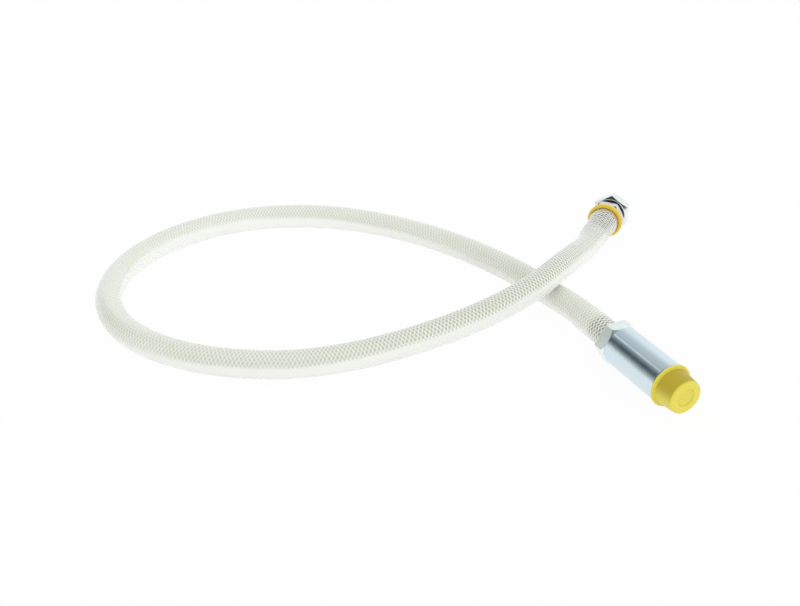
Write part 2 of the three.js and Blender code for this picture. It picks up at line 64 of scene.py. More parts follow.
# The hose
HOSE_RADIUS = 9.5 * MM
HOSE_WALL = 3 * MM
TAIL_LENGTH = 32 * MM
BARB_PITCH = 7 * MM
BARB_RIDGE = 0.12 * MM
VALVE_SWELL = 0.35 * MM  # how much wider the hose is over the tails
SWIVEL_SWELL = 1.0 * MM
VALVE_SETTLES = 8 * MM  # the length in which it comes back to its own size
SWIVEL_SETTLES = 24 * MM
SWIVEL_FLARE = 1.1 * MM  # how much wider still it is beside the collar
FLARE_STARTS, FLARE_FADES = 6 * MM, 14 * MM
BRAID_STRANDS = 12
BRAID_PITCH = 2.7 * MM
STRAIGHT_STEP = 17 * MM
STRAIGHT_POINTS = 3
ROUTE_STEP = 1.6 * MM
# Points that the middle line passes between its straight ends, in millimetres
LOOP = [
    (117.7, 3.0, 14.2),
    (108.6, 10.6, 12.8),
    (99.3, 18.3, 11.1),
    (89.8, 25.5, 9.9),
    (79.9, 32.2, 9.6),
    (69.5, 38.2, 9.6),
    (40.2, 51.6, 9.6),
    (6.1, 63.0, 9.6),
    (-29.3, 70.3, 9.6),
    (-65.3, 72.7, 9.6),
    (-101.3, 69.0, 9.6),
    (-135.7, 57.7, 9.6),
    (-166.1, 38.4, 9.6),
    (-190.3, 11.5, 9.6),
    (-205.9, -20.9, 9.6),
    (-211.6, -56.6, 9.6),
    (-206.4, -92.3, 9.6),
    (-189.6, -124.1, 9.6),
    (-162.4, -147.5, 9.6),
    (-128.5, -160.0, 9.6),
    (-92.5, -161.7, 9.6),
    (-57.1, -154.1, 9.6),
    (-24.3, -139.1, 9.9),
    (5.7, -118.8, 12.3),
    (33.0, -95.2, 16.6),
    (57.7, -68.5, 21.6),
    (78.2, -38.8, 26.4),
    (92.5, -5.7, 29.8),
    (98.8, 23.6, 30.8),
    (100.8, 48.5, 27.8),
    (100.8, 68.0, 23.5),
    (100.3, 84.0, 19.6),
    (99.5, 99.0, 16.8),
]

# The coupling, its poppet and its cap: radii, and distances outwards from the hose's end
SPANNER_FLATS = 27
HEX_BACK, HEX_FRONT = 0.3, 9.3
SOCKET, SOCKET_FRONT = 10.1, 15.3
BARREL, BARREL_BORE, BARREL_FRONT = 14.0, 9.0, 59.3
NOSE, NOSE_CREST, NOSE_BORE, NOSE_FRONT = 9.6, 10.5, 5.5, 68.3
SEAT_BACK = BARREL_FRONT - (BARREL_BORE - NOSE_BORE)
STEM, STEM_BACK = 3.0, 7.2
HEAD, HEAD_BACK = 8.6, 53.3
PIN, PIN_FRONT = 3.5, 67.7
SPRING_WIRE, SPRING_MEAN, SPRING_TURNS = 1.3, 6.55, 7
SPRING_HELD = 1.05  # how much of the spring at each end doesn't shorten
CAP_BACK, CAP_INSIDE, CAP_FRONT = 59.6, 73.2, 75.6
CAP_FLANGE, CAP_SIDE, CAP_RECESS = 14.8, 12.9, 6.3
CAP_MOUTH, CAP_BOTTOM = 11.8, 10.3  # the hollow's radius at its mouth and at its bottom
THREAD_PITCH = 1.5

# The swivel end: radii, and distances outwards from the hose's end
COLLAR, COLLAR_LIP, COLLAR_HOLE = 14.2, 11.75, 6.6
COLLAR_BACK, COLLAR_FRONT = -2.6, 2.1
TAIL_BORE, TAIL_SHANK = 4.25, 6.3
TAIL_FLATS, TAIL_HEX_BACK, TAIL_HEX_FRONT = 24, 2.4, 9.9
NECK, WIRE_GROOVE, WIRE_GROOVE_BACK, WIRE_GROOVE_FRONT = 8.7, 7.7, 13.3, 15.3
CONE_BACK, CONE_FRONT, CONE_TIP = 15.9, 19.3, 7.3
SEAL_GROOVE, SEAL_GROOVE_BACK, SEAL_GROOVE_FRONT = 6.9, 16.85, 18.4
NUT_BACK, NUT_FRONT = 14.0, 23.7
NUT_HOLE, NUT_BORE, NUT_MOUTH = 9.05, 10.45, 11.25
NUT_RIM, NUT_RIM_BACK = 12.95, 13.0
NUT_SHOULDER = 15.9

# How far a hexagon's sharp edges are taken back
EDGE = 0.15


# Camera

CAMERA_PLACE = (0.2851, -0.6229, 0.385)
CAMERA_TURN, CAMERA_DOWN = 25.8, 30
SENSOR = 36
FOCAL_PIXELS, PHOTO_WIDTH = 1046, 800

camera = bpy.data.objects.new("camera", bpy.data.cameras.new("camera"))
bpy.context.scene.collection.objects.link(camera)
camera.location = CAMERA_PLACE
camera.rotation_euler = (math.radians(90 - CAMERA_DOWN), 0, math.radians(CAMERA_TURN))
camera.data.sensor_width = SENSOR
camera.data.lens = SENSOR * FOCAL_PIXELS / PHOTO_WIDTH
camera.data.clip_start = 10 * MM
bpy.context.scene.camera = camera


# Materials

# A colour mix takes the amount and the two colours in its inputs 0, 6 and 7, and gives output 2. A ramp
# takes a value in 0, where it starts and stops in 1 and 2, and what it gives there, if not 0 and 1, in
# 3 and 4.
COLOUR = {"data_type": "RGBA", "out": 2}
SMOOTH = {"interpolation_type": "SMOOTHSTEP"}


def linear(code):
    """An sRGB colour written #rrggbb as linear red, green, blue and alpha."""
    values = [int(code[i : i + 2], 16) / 255 for i in (1, 3, 5)]
    return [v / 12.92 if v <= 0.04045 else ((v + 0.055) / 1.055) ** 2.4 for v in values] + [1.0]


def fill(node, inputs):
    """Gives a node's sockets, by name or number, their values and links."""
    for key, value in inputs.items():
        if isinstance(value, bpy.types.NodeSocket):
            node.id_data.links.new(value, node.inputs[key])
        else:
            node.inputs[key].default_value = value


def adder(tree):
    """A function that adds a node to the tree with its settings, values and links, and gives one output."""

    def add(kind, inputs=None, out=0, **settings):
        node = tree.nodes.new("ShaderNode" + kind)
        for key, value in settings.items():
            setattr(node, key, value)
        fill(node, inputs or {})
        return node.outputs[out]

    return add


def new_material(name):
    """A material, its Principled shader, a function that adds a node, and the place on the object."""
    material = bpy.data.materials.new(name)
    material.use_nodes = True
    add = adder(material.node_tree)
    return material, material.node_tree.nodes["Principled BSDF"], add, add("TexCoord", out="Object")


def braid_height(add, around, ahead):
    """The height of the yarns, from 0 in the gaps to 1 on the crossings. Two families of ridges are cosines
    of the turn plus and minus the length, and each is lifted by a share of both half cosines' product, so
    that it dives under every second ridge of the other."""
    steps = add("Math", {0: ahead, 1: BRAID_PITCH}, operation="DIVIDE")
    ridges, halves = [], []
    for way in ("ADD", "SUBTRACT"):
        phase = add("Math", {0: around, 1: steps}, operation=way)
        turn = add("Math", {0: phase, 1: TAU}, operation="MULTIPLY")
        wave = add("Math", {0: turn}, operation="COSINE")
        ridges.append(add("Math", {0: wave, 1: 0.5, 2: 0.5}, operation="MULTIPLY_ADD"))
        half = add("Math", {0: phase, 1: TAU / 2}, operation="MULTIPLY")
        halves.append(add("Math", {0: half}, operation="COSINE"))
    dive = add("Math", {0: halves[0], 1: halves[1]}, operation="MULTIPLY")
    yarns = []
    for ridge, lift in zip(ridges, (0.35, -0.35)):
        lifted = add("Math", {0: dive, 1: lift, 2: 0.65}, operation="MULTIPLY_ADD")
        yarns.append(add("Math", {0: ridge, 1: lifted}, operation="MULTIPLY"))
    return add("Math", {0: yarns[0], 1: yarns[1]}, operation="MAXIMUM")


def hose_material():
    """Clear extruded PVC over a pale yarn braid. The crossing yarns show as short slanted strokes with grey
    gaps between them. The clear jacket is smooth and glossy and turns pale where it is seen at a slant. Its
    underside is painted pale, as the ground's light through it would make it, until the braid is lost there."""
    material, shader, add, place = new_material("clear_pvc_over_braid")
    uv = add("UVMap", uv_map="along")
    ahead = add("SeparateXYZ", {0: uv}, out=1)
    strands = add("Math", {0: add("SeparateXYZ", {0: uv}), 1: BRAID_STRANDS}, operation="MULTIPLY")
    wander = add("TexNoise", {"Vector": place, "Scale": 1 / (28.6 * MM), "Detail": 2})
    around = add("Math", {0: wander, 1: 0.5, 2: strands}, operation="MULTIPLY_ADD")
    height = braid_height(add, around, ahead)

    # The steel tails show grey through the gaps, in bands where their barbs press outwards: near the
    # coupling over its last barbs alone, and at the swivel end, where the braid opens, over the whole tail.
    left = add("Math", {0: route_length, 1: ahead}, operation="SUBTRACT")
    to_end = add("Math", {0: ahead, 1: left}, operation="MINIMUM")
    barb_turn = add("Math", {0: to_end, 1: TAU / BARB_PITCH}, operation="MULTIPLY")
    barbs = add("Math", {0: barb_turn}, operation="COSINE")
    swivel_half = add("MapRange", {0: ahead, 1: route_length * 0.4, 2: route_length * 0.6}, **SMOOTH)
    half = TAIL_LENGTH / 2
    shown_length = add("Math", {0: swivel_half, 1: half, 2: half}, operation="MULTIPLY_ADD")
    share = add("Math", {0: to_end, 1: shown_length}, operation="DIVIDE")
    near_end = add("MapRange", {0: share, 1: 1.2, 2: 0.8}, **SMOOTH)
    strength = add("Math", {0: swivel_half, 1: 0.4, 2: 0.6}, operation="MULTIPLY_ADD")
    over_tail = add("Math", {0: near_end, 1: strength}, operation="MULTIPLY")
    blotches = add("TexNoise", {"Vector": place, "Scale": 1 / (9.1 * MM), "Detail": 3})
    pressed = add("Math", {0: barbs, 1: 0.08, 2: blotches}, operation="MULTIPLY_ADD")
    patches = add("MapRange", {0: pressed, 1: 0.25, 2: 0.42}, **SMOOTH)
    steel = add("Math", {0: over_tail, 1: patches}, operation="MULTIPLY")

    # Painted light: towards the ground, and a little towards +X, the colour is painted pale, as the ground's
    # light through the clear jacket would make it. It hides the yarns there, but not the dark steel.
    normal = add("TexCoord", out="Normal")
    facing = add("VectorMath", {0: normal, 1: (-0.3, 0.0, 0.95)}, out="Value", operation="DOT_PRODUCT")
    ragged = add("TexNoise", {"Vector": place, "Scale": 1 / (16.7 * MM), "Detail": 3})
    border = add("Math", {0: ragged, 1: 0.3, 2: facing}, operation="MULTIPLY_ADD")
    full = add("MapRange", {0: border, 1: 0.54, 2: 0.12}, **SMOOTH)
    most = add("Math", {0: over_tail, 1: -0.55, 2: 0.92}, operation="MULTIPLY_ADD")
    painted_underlight = add("Math", {0: full, 1: most}, operation="MULTIPLY")
    shown = add("Math", {0: 1.0, 1: painted_underlight}, operation="SUBTRACT")

    # The middle of the hose is a little paler than its ends, and the braid opens towards the swivel end.
    # Steel behind a yarn greys it by a quarter of what it does in a gap.
    fades_in = add("MapRange", {0: ahead, 1: route_length * 0.1, 2: route_length * 0.25}, **SMOOTH)
    fades_out = add("MapRange", {0: ahead, 1: route_length * 0.65, 2: route_length * 0.5}, **SMOOTH)
    paler = add("Math", {0: fades_in, 1: fades_out}, operation="MULTIPLY")
    opened = add("MapRange", {0: ahead, 1: route_length - 420 * MM, 2: route_length - 60 * MM}, **SMOOTH)
    behind = add("Math", {0: steel, 1: 0.25}, operation="MULTIPLY")
    clouds = add("TexNoise", {"Vector": place, "Scale": 1 / (22.2 * MM), "Detail": 4})
    # Painted shade and highlight: the gaps are painted grey as the shaded inside of the hose seen through
    # them, and the yarns' crowns paler, as their round tops would catch the light. The tails' real steel greys
    # the gaps further.
    gap, yarn = linear("#d3d6c7"), linear("#e6e8d9")
    for amount, tone in ((opened, "#a3a796"), (paler, "#dbdecf"), (steel, "#343836")):
        gap = add("Mix", {0: amount, 6: gap, 7: linear(tone)}, **COLOUR)
    for amount, tone in ((clouds, "#eeefe3"), (paler, "#f1f2e7"), (behind, "#c9cbc4")):
        yarn = add("Mix", {0: amount, 6: yarn, 7: linear(tone)}, **COLOUR)
    flank = add("MapRange", {0: height, 1: 0.1, 2: 0.72}, **SMOOTH)
    painted_crown_highlight = add("MapRange", {0: height, 1: 0.72, 2: 1.0}, **SMOOTH)
    # The pale tone of the painted light on the underside
    painted_underlight_tone = add("Mix", {0: paler, 6: linear("#f5f6ef"), 7: linear("#fcfdf5")}, **COLOUR)
    woven = gap
    for amount, tone in ((flank, yarn), (painted_crown_highlight, linear("#fbfbf0")), (painted_underlight, painted_underlight_tone)):
        woven = add("Mix", {0: amount, 6: woven, 7: tone}, **COLOUR)

    # Painted light and shade: beside the amber collar the hose is coloured brown-amber, as light through and
    # off the collar and the shade of its cup would colour it.
    beside = add("MapRange", {0: ahead, 1: route_length - 10 * MM, 2: route_length - 3 * MM}, **SMOOTH)
    painted_collar_cast = add("Math", {0: beside, 1: 0.65}, operation="MULTIPLY")
    woven = add("Mix", {0: painted_collar_cast, 6: woven, 7: linear("#c2a562")}, **COLOUR)

    relief = add("Math", {0: height, 1: shown}, operation="MULTIPLY")
    waves = add("TexNoise", {"Vector": place, "Scale": 1 / (11.1 * MM), "Detail": 2})
    fill(
        shader,
        {
            "Base Color": woven,
            "Normal": add("Bump", {"Height": relief, "Strength": 0.3, "Distance": 0.4 * MM}),
            "Coat Normal": add("Bump", {"Height": waves, "Strength": 0.25, "Distance": 0.8 * MM}),
            "Roughness": 0.5,
            "Sheen Weight": 0.6,
            "Sheen Roughness": 0.3,
            "Sheen Tint": (1.0, 1.0, 0.97, 1.0),
            "Coat Weight": 1.0,
            "Coat Roughness": 0.12,
            "Subsurface Weight": 0.25,
            "Subsurface Radius": (4 * MM, 4 * MM, 3 * MM),
            "Subsurface Scale": 1.0,
        },
    )
    return material


def metal_material(name, pale, deep, roughness, turned=True):
    """Metal off a lathe, with rings, or drawn or milled, with a grain. Tint and gloss drift faintly over the
    surface. Rings of 0.4 mm and a grain of 1.1 mm are coarser than the real ones, which wouldn't show."""
    material, shader, add, place = new_material(name)
    drift = add("TexNoise", {"Vector": place, "Scale": 1 / (25 * MM), "Detail": 2})
    smudge = add("TexNoise", {"Vector": place, "Scale": 1 / (6.25 * MM), "Detail": 5})
    gloss = {0: smudge, 1: 0.3, 2: 0.7, 3: roughness * 0.85, 4: roughness * 1.25}
    if turned:
        along = add("SeparateXYZ", {0: add("UVMap", uv_map="along")}, out=1)
        tooled = {"W": along, "Scale": 1 / (0.385 * MM), "Detail": 3}
        grain = add("TexNoise", tooled, noise_dimensions="1D")
    else:
        grain = add("TexNoise", {"Vector": place, "Scale": 1 / (1.11 * MM), "Detail": 4})
    fill(
        shader,
        {
            "Base Color": add("Mix", {0: drift, 6: linear(pale), 7: linear(deep)}, **COLOUR),
            "Roughness": add("MapRange", gloss, **SMOOTH),
            "Normal": add("Bump", {"Height": grain, "Strength": 0.12, "Distance": 0.03 * MM}),
            "Metallic": 1.0,
        },
    )
    return material


def painted_cap_shade(add, place):
    """How much painted shade a point of the cap takes, from 0 to 1: on its side between the flange and the
    end, by its distance along the coupling's axis, and the more the further it faces up, where less light
    falls."""
    out = VALVE[0][:, 2]
    reach = add("VectorMath", {0: place, 1: tuple(out)}, out="Value", operation="DOT_PRODUCT")
    along = add("Math", {0: reach, 1: float(VALVE_END @ out)}, operation="SUBTRACT")
    starts = add("MapRange", {0: along, 1: (CAP_BACK + 1.4) * MM, 2: (CAP_BACK + 2.6) * MM}, **SMOOTH)
    ends = add("MapRange", {0: along, 1: (CAP_FRONT - 0.2) * MM, 2: (CAP_FRONT - 2) * MM}, **SMOOTH)
    upwards = add("SeparateXYZ", {0: add("TexCoord", out="Normal")}, out=2)
    lit = add("MapRange", {0: upwards, 1: -0.25, 2: 0.45}, **SMOOTH)
    side = add("Math", {0: starts, 1: ends}, operation="MULTIPLY")
    return add("Math", {0: side, 1: lit}, operation="MULTIPLY")


def plastic_material(name, pale, deep, roughness, soft, shade_colours=None):
    """Moulded polyethylene: waxy and a little see-through, with faint clouds and a fine skin. The last
    argument, if given, is a pair of darker colours painted as shade on the cap's upper side."""
    material, shader, add, place = new_material(name)
    clouds = add("TexNoise", {"Vector": place, "Scale": 1 / (8.33 * MM), "Detail": 3})
    skin = add("TexNoise", {"Vector": place, "Scale": 1 / (0.4 * MM), "Detail": 3})
    colour = add("Mix", {0: clouds, 6: linear(pale), 7: linear(deep)}, **COLOUR)
    if shade_colours:
        painted_shade = add("Mix", {0: clouds, 6: linear(shade_colours[0]), 7: linear(shade_colours[1])}, **COLOUR)
        colour = add("Mix", {0: painted_cap_shade(add, place), 6: colour, 7: painted_shade}, **COLOUR)
    fill(
        shader,
        {
            "Base Color": colour,
            "Normal": add("Bump", {"Height": skin, "Strength": 0.1, "Distance": 0.05 * MM}),
            "Roughness": roughness,
            "Subsurface Weight": soft,
            "Subsurface Radius": (1.5 * MM, 1.2 * MM, 0.4 * MM),
            "Subsurface Scale": 1.0,
        },
    )
    return material


def rubber_material():
    """Black moulded rubber with a dull, slightly uneven skin."""
    material, shader, add, place = new_material("black_rubber_seal")
    clouds = add("TexNoise", {"Vector": place, "Scale": 1 / (1.43 * MM), "Detail": 4})
    skin = add("TexNoise", {"Vector": place, "Scale": 1 / (1.11 * MM), "Detail": 3})
    fill(
        shader,
        {
            "Base Color": add("Mix", {0: clouds, 6: linear("#141516"), 7: linear("#242526")}, **COLOUR),
            "Roughness": add("MapRange", {0: skin, 1: 0.3, 2: 0.7, 3: 0.5, 4: 0.75}, **SMOOTH),
        },
    )
    return material


# Forms

def end_frame(origin, heading):
    """A fitting's own axes: sideways, up and outwards, as the columns of a matrix, with its origin."""
    out = np.array([math.cos(math.radians(heading)), math.sin(math.radians(heading)), 0.0])
    up = np.array([0.0, 0.0, 1.0])
    return np.stack([np.cross(up, out), up, out], axis=1), origin


VALVE = end_frame(VALVE_END, VALVE_HEADING)
SWIVEL = end_frame(SWIVEL_END, SWIVEL_HEADING)


def surface(name, points, look, body, slot, closed=True, sharp=32, along=None):
    """A skin over a grid of points, [row, column, xyz], that goes round along its columns and, where it is
    closed, along its rows too. Its UV map "along" holds the turn, from 0 to 1, and the metres along a row.
    A piece that two bodies share has no body here."""
    rows, cols, _ = points.shape
    if along is None:
        ring = np.concatenate([points, points[:1]]) if closed else points
        along = np.concatenate([[0], np.cumsum(np.linalg.norm(np.diff(ring[:, 0], axis=0), axis=1))])
    i, j = np.meshgrid(np.arange(rows if closed else rows - 1), np.arange(cols), indexing="ij")
    below, right = (i + 1) % rows, (j + 1) % cols
    quads = np.stack([i * cols + j, i * cols + right, below * cols + right, below * cols + j], -1)
    u = np.stack([j, j + 1, j + 1, j], -1) / cols
    v = np.stack([along[i], along[i], along[i + 1], along[i + 1]], -1)
    mesh = bpy.data.meshes.new(name)
    mesh.from_pydata(points.reshape(-1, 3).tolist(), [], quads.reshape(-1, 4).tolist())
    layer = mesh.uv_layers.new(name="along")
    layer.data.foreach_set("uv", np.stack([u, v], -1).astype(np.float32).ravel())
    work = bmesh.new()
    work.from_mesh(mesh)
    bmesh.ops.remove_doubles(work, verts=work.verts, dist=1e-7)
    bmesh.ops.delete(work, geom=[edge for edge in work.edges if not edge.link_faces], context="EDGES")
    bmesh.ops.recalc_face_normals(work, faces=work.faces)
    work.to_mesh(mesh)
    work.free()
    mesh.polygons.foreach_set("use_smooth", np.ones(len(mesh.polygons), bool))
    mesh.set_sharp_from_angle(angle=math.radians(sharp))
    mesh.materials.append(look)
    piece = bpy.data.objects.new(name, mesh)
    bpy.context.scene.collection.objects.link(piece)
    piece.modifiers.new("even_normals", "WEIGHTED_NORMAL").keep_sharp = True
    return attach(piece, body) if body else piece


def softened(profile, size, count=3):
    """A closed profile with each corner replaced by a small curve that starts size away from it. A corner on
    the axis stays as it is."""
    p = np.array(profile, float)
    made = []
    for k in range(len(p)):
        here, before, after = p[k], p[k - 1], p[(k + 1) % len(p)]
        if here[0] == 0:
            made.append(here)
            continue
        back, ahead = before - here, after - here
        reach = min(size, 0.4 * np.linalg.norm(back), 0.4 * np.linalg.norm(ahead))
        start = here + back / np.linalg.norm(back) * reach
        end = here + ahead / np.linalg.norm(ahead) * reach
        for t in np.linspace(0, 1, count + 1):
            made.append((1 - t) ** 2 * start + 2 * t * (1 - t) * here + t**2 * end)
    return np.array(made)


def placed(local, where):
    """Points given as sideways, up, outwards in millimetres, put in the frame."""
    axes, origin = where
    return local * MM @ axes.T + origin


def turned(name, profile, where, look, body, slot, size=0.2, cols=96, sharp=32):
    """A closed profile of (radius, distance) pairs, in millimetres, turned about a fitting's axis."""
    p = softened(profile, size) if size else np.array(profile, float)
    angle = np.linspace(0, TAU, cols, endpoint=False)
    across = np.outer(p[:, 0], np.cos(angle)), np.outer(p[:, 0], np.sin(angle))
    grid = np.stack([*across, np.outer(p[:, 1], np.ones(cols))], -1)
    return surface(name, placed(grid, where), look, body, slot, sharp=sharp)


def round_ring(name, mean, thickness, middle, where, look, body, slot):
    """A ring of round section."""
    turn = np.linspace(0, TAU, 16, endpoint=False)
    profile = np.stack([mean + thickness / 2 * np.cos(turn), middle + thickness / 2 * np.sin(turn)], -1)
    return turned(name, profile, where, look, body, slot, size=0, cols=72)


def hexagon(name, flats, start, stop, corner, slopes, circles, bore, where, look, body, slot):
    """A hexagonal bar whose corners two cones have taken off. Each column of the grid is its own outline:
    out along the back face to the cone's circle, up the cone to the flat, along it, and down again. corner
    is where the first corner lies, in degrees. slopes and circles are the cones' angles in degrees and the
    radii where they start; bore lists the outline of the hole, from front to back."""
    half = flats / 2
    reach = half / math.cos(math.pi / 6) - EDGE
    # Three columns close together on each corner, and fifteen over the flat after it
    one_sixth = np.radians(np.r_[-1.1, 0, 1.1, np.linspace(4, 56, 15)])
    turns = np.concatenate([np.radians(corner + 60 * k) + one_sixth for k in range(6)])
    flat = (turns - math.radians(corner) + math.pi / 6) % (math.pi / 3) - math.pi / 6
    outer = np.minimum(half / np.cos(math.pi / 6 - np.abs(flat)), reach)
    drops, rims = [], []
    for slope, circle in zip(slopes, circles):
        drop = (outer - circle) * math.tan(math.radians(slope)) if slope else 0 * outer
        drops.append(np.maximum(EDGE, drop))
        rims.append(np.minimum(outer - EDGE, circle) if slope else outer - EDGE)
    # A narrow strip of each end face, beside its edge, keeps that face's shading flat
    rows = [(rims[0] - 0.2, start + 0 * outer), (rims[0], start + 0 * outer)]
    rows += [(outer, start + drops[0]), (outer, start + drops[0] + EDGE)]
    rows += [(outer, stop - drops[1] - EDGE), (outer, stop - drops[1])]
    rows += [(rims[1], stop + 0 * outer), (rims[1] - 0.2, stop + 0 * outer)]
    rows += [(radius + 0 * outer, distance + 0 * outer) for radius, distance in bore]
    grid = np.stack([np.stack([r * np.cos(turns), r * np.sin(turns), w], -1) for r, w in rows])
    return surface(name, placed(grid, where), look, body, slot, sharp=20)


def thread(name, root, crest, start, stop, where, look, body, slot):
    """A screw thread: the radius follows a ridge that climbs one pitch in each turn, and fades out at both
    ends. root and crest are its radii. It is inside out where the crest is smaller than the root."""
    cols, rows = 72, int((stop - start) / THREAD_PITCH * 10 + 0.01)
    angle = np.linspace(0, TAU, cols, endpoint=False)
    w = np.linspace(start, stop, rows)
    phase = (w[:, None] / THREAD_PITCH - angle[None] / TAU) % 1
    ridge = np.clip(1.25 - np.abs(phase - 0.5) * 3.1, 0, 1)  # a flat crest between straight flanks
    fade = np.clip(np.minimum(w - start, stop - w) / (0.7 * THREAD_PITCH), 0, 1)[:, None]
    radius = root + (crest - root) * ridge * fade
    buried = np.full((1, cols), root - math.copysign(0.4, crest - root))
    radius = np.concatenate([buried, radius, buried])
    w = np.concatenate([[start], w, [stop]])
    grid = np.stack([radius * np.cos(angle), radius * np.sin(angle), w[:, None] + 0 * radius], -1)
    return surface(name, placed(grid, where), look, body, slot, sharp=60)


def coil(name, mean, wire, start, stop, turns, where, look, slot):
    """A compression spring, which two bodies share. Its middle line winds round the fitting's axis at the
    mean radius: it climbs little more than the wire's thickness in the first and the last turn, and evenly
    between them. The wire's round section stands square to that line, and closes to a point at both ends."""
    turn = np.linspace(0, turns, turns * 24 + 1)
    close = 1.05 * wire
    climb = np.interp(turn, [0, 1, turns - 1, turns], [start, start + close, stop - close, stop])
    angle = TAU * turn
    out = np.stack([np.cos(angle), np.sin(angle), 0 * angle], -1)
    middle = mean * out + np.stack([0 * climb, 0 * climb, climb], -1)
    ahead = np.gradient(middle, axis=0)
    ahead /= np.linalg.norm(ahead, axis=1)[:, None]
    across = np.cross(ahead, out)
    section = np.linspace(0, TAU, 12, endpoint=False)[None, :, None]
    spokes = (out[:, None] * np.cos(section) + across[:, None] * np.sin(section)) * wire / 2
    spokes = np.concatenate([0 * spokes[:1], spokes, 0 * spokes[-1:]])
    middle = np.concatenate([middle[:1], middle, middle[-1:]])
    return surface(name, placed(middle[:, None] + spokes, where), look, None, slot, closed=False, sharp=60)


# The hose's route

def curve_through(points, count=24):
    """A smooth line through the points: between each two of them a cubic whose slopes come from their
    neighbours, weighted by the square roots of the distances."""
    p = np.array(points, float)
    p = np.concatenate([[2 * p[0] - p[1]], p, [2 * p[-1] - p[-2]]])
    t = np.linspace(0, 1, count, endpoint=False)[:, None]
    made = []
    for k in range(1, len(p) - 2):
        a, b, c, d = p[k - 1 : k + 3]
        before, own, after = (math.sqrt(np.linalg.norm(x)) for x in (b - a, c - b, d - c))
        first = ((b - a) / before - (c - a) / (before + own) + (c - b) / own) * own
        last = ((c - b) / own - (d - b) / (own + after) + (d - c) / after) * own
        square, cube = 3 * (c - b) - 2 * first - last, 2 * (b - c) + first + last
        made.append(b + first * t + square * t**2 + cube * t**3)
    return np.concatenate(made + [p[-2:-1]])


def evenly(curve, step):
    """The same line with points at even distances, and those distances."""
    s = np.concatenate([[0], np.cumsum(np.linalg.norm(np.diff(curve, axis=0), axis=1))])
    at = np.linspace(0, s[-1], int(s[-1] / step) + 1)
    return np.stack([np.interp(at, s, curve[:, k]) for k in range(3)], -1), at


def route():
    """The hose's middle line from the valve end to the swivel end."""
    back = [VALVE_END - VALVE[0][:, 2] * STRAIGHT_STEP * k for k in range(STRAIGHT_POINTS)]
    home = [SWIVEL_END - SWIVEL[0][:, 2] * STRAIGHT_STEP * k for k in reversed(range(STRAIGHT_POINTS))]
    return evenly(curve_through(back + [np.array(q) * MM for q in LOOP] + home), ROUTE_STEP)


line, distance = route()
route_length = float(distance[-1])


def ease(t):
    """A smooth step from 0 to 1."""
    t = np.clip(t, 0, 1)
    return t * t * (3 - 2 * t)


def hose_piece(look):
    """The hose: a circle carried along the route without twisting, and a smaller one back again through its
    bore. It widens over the barbed tails, with a low ring over each barb, and the edges of its cut ends are
    eased."""
    ahead = np.gradient(line, axis=0)
    ahead /= np.linalg.norm(ahead, axis=1)[:, None]
    side = np.cross([0, 0, 1.0], ahead[0])
    sides = [side / np.linalg.norm(side)]
    for a in ahead[1:]:
        s = sides[-1] - a * (sides[-1] @ a)
        sides.append(s / np.linalg.norm(s))
    sides = np.array(sides)
    ups = np.cross(ahead, sides)

    from_end = np.minimum(distance, route_length - distance)
    near_valve = distance < route_length / 2
    settles = np.where(near_valve, VALVE_SETTLES, SWIVEL_SETTLES)
    settled = ease((from_end - 0.95 * TAIL_LENGTH) / settles)
    flared = np.where(near_valve, 0, 1 - ease((from_end - FLARE_STARTS) / FLARE_FADES))
    swell = np.where(near_valve, VALVE_SWELL, SWIVEL_SWELL) * (1 - settled) + SWIVEL_FLARE * flared
    barb = BARB_RIDGE * np.cos(TAU * from_end / BARB_PITCH) * (1 - settled)
    radius = HOSE_RADIUS + swell + barb
    angle = np.linspace(0, TAU, 56, endpoint=False)
    spokes = sides[:, None] * np.cos(angle)[None, :, None] + ups[:, None] * np.sin(angle)[None, :, None]
    skin = line[:, None] + spokes * radius[:, None, None]

    def turned_in(index, amounts):
        """Rings of a cut end, each drawn in from the skin by an amount."""
        return [line[index] + spokes[index] * (radius[index] - inward) for inward in amounts]

    first = turned_in(0, (HOSE_WALL, 0.5 * MM, 0.1 * MM))
    last = turned_in(-1, (0.1 * MM, 0.5 * MM, HOSE_WALL))
    back = np.arange(len(line) - 4, 3, -4)  # the bore needs only every fourth point
    bore = line[back][:, None] + spokes[back] * (radius[back] - HOSE_WALL)[:, None, None]
    grid = np.stack(first + list(skin[1:-1]) + last + list(bore))
    along = np.concatenate([[0, 0, 0], distance[1:-1], [route_length] * 3, distance[back], [0]])
    return surface("hose_skin", grid, look, "hose_line", "clear_pvc", sharp=50, along=along)


# Pieces

# Turned steel with a bluish bright zinc plate, and the drawn bar's flats, which are duller and whiter
zinc = metal_material("bright_zinc_turned", "#dbe8ee", "#d2e2ec", 0.15)
zinc_plain = metal_material("bright_zinc_bar", "#fafffd", "#f1faf7", 0.37, turned=False)
# Nickel plate, which shines nearly like a mirror on the nut and is satin on the tail's hexagon
nickel = metal_material("bright_nickel_plate", "#f1f2f2", "#e6e9ea", 0.09, turned=False)
nickel_turned = metal_material("bright_nickel_turned", "#eceeee", "#e0e4e5", 0.14)
nickel_satin = metal_material("satin_nickel_bar", "#dcdfe4", "#cfd6d8", 0.2, turned=False)
# A dark grey steel laid over the nut's back as painted shade, and grey spring wire
shade_lining_steel = metal_material("painted_shade_lining", "#5a5f5e", "#474c4b", 0.25)
wire_steel = metal_material("drawn_spring_steel", "#a7abae", "#94999e", 0.3, turned=False)
# Yellow brass, bright from the lathe or dull from the press
brass = metal_material("turned_brass", "#c9a860", "#b5924c", 0.25)
brass_plain = metal_material("brass_inside", "#c2a15a", "#ab8a48", 0.3, turned=False)
rubber = rubber_material()
pvc = hose_material()
# The yellow cap gets painted shade on its upper side, from the pair of darker colours
yellow = plastic_material(
    "yellow_polyethylene", "#eadc57", "#e3d648", 0.4, 0.2, shade_colours=("#c2ad24", "#b9a41f")
)
amber = plastic_material("amber_collar", "#f4d748", "#e7c434", 0.3, 0.35)

hose = hose_piece(pvc)
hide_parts("hose")

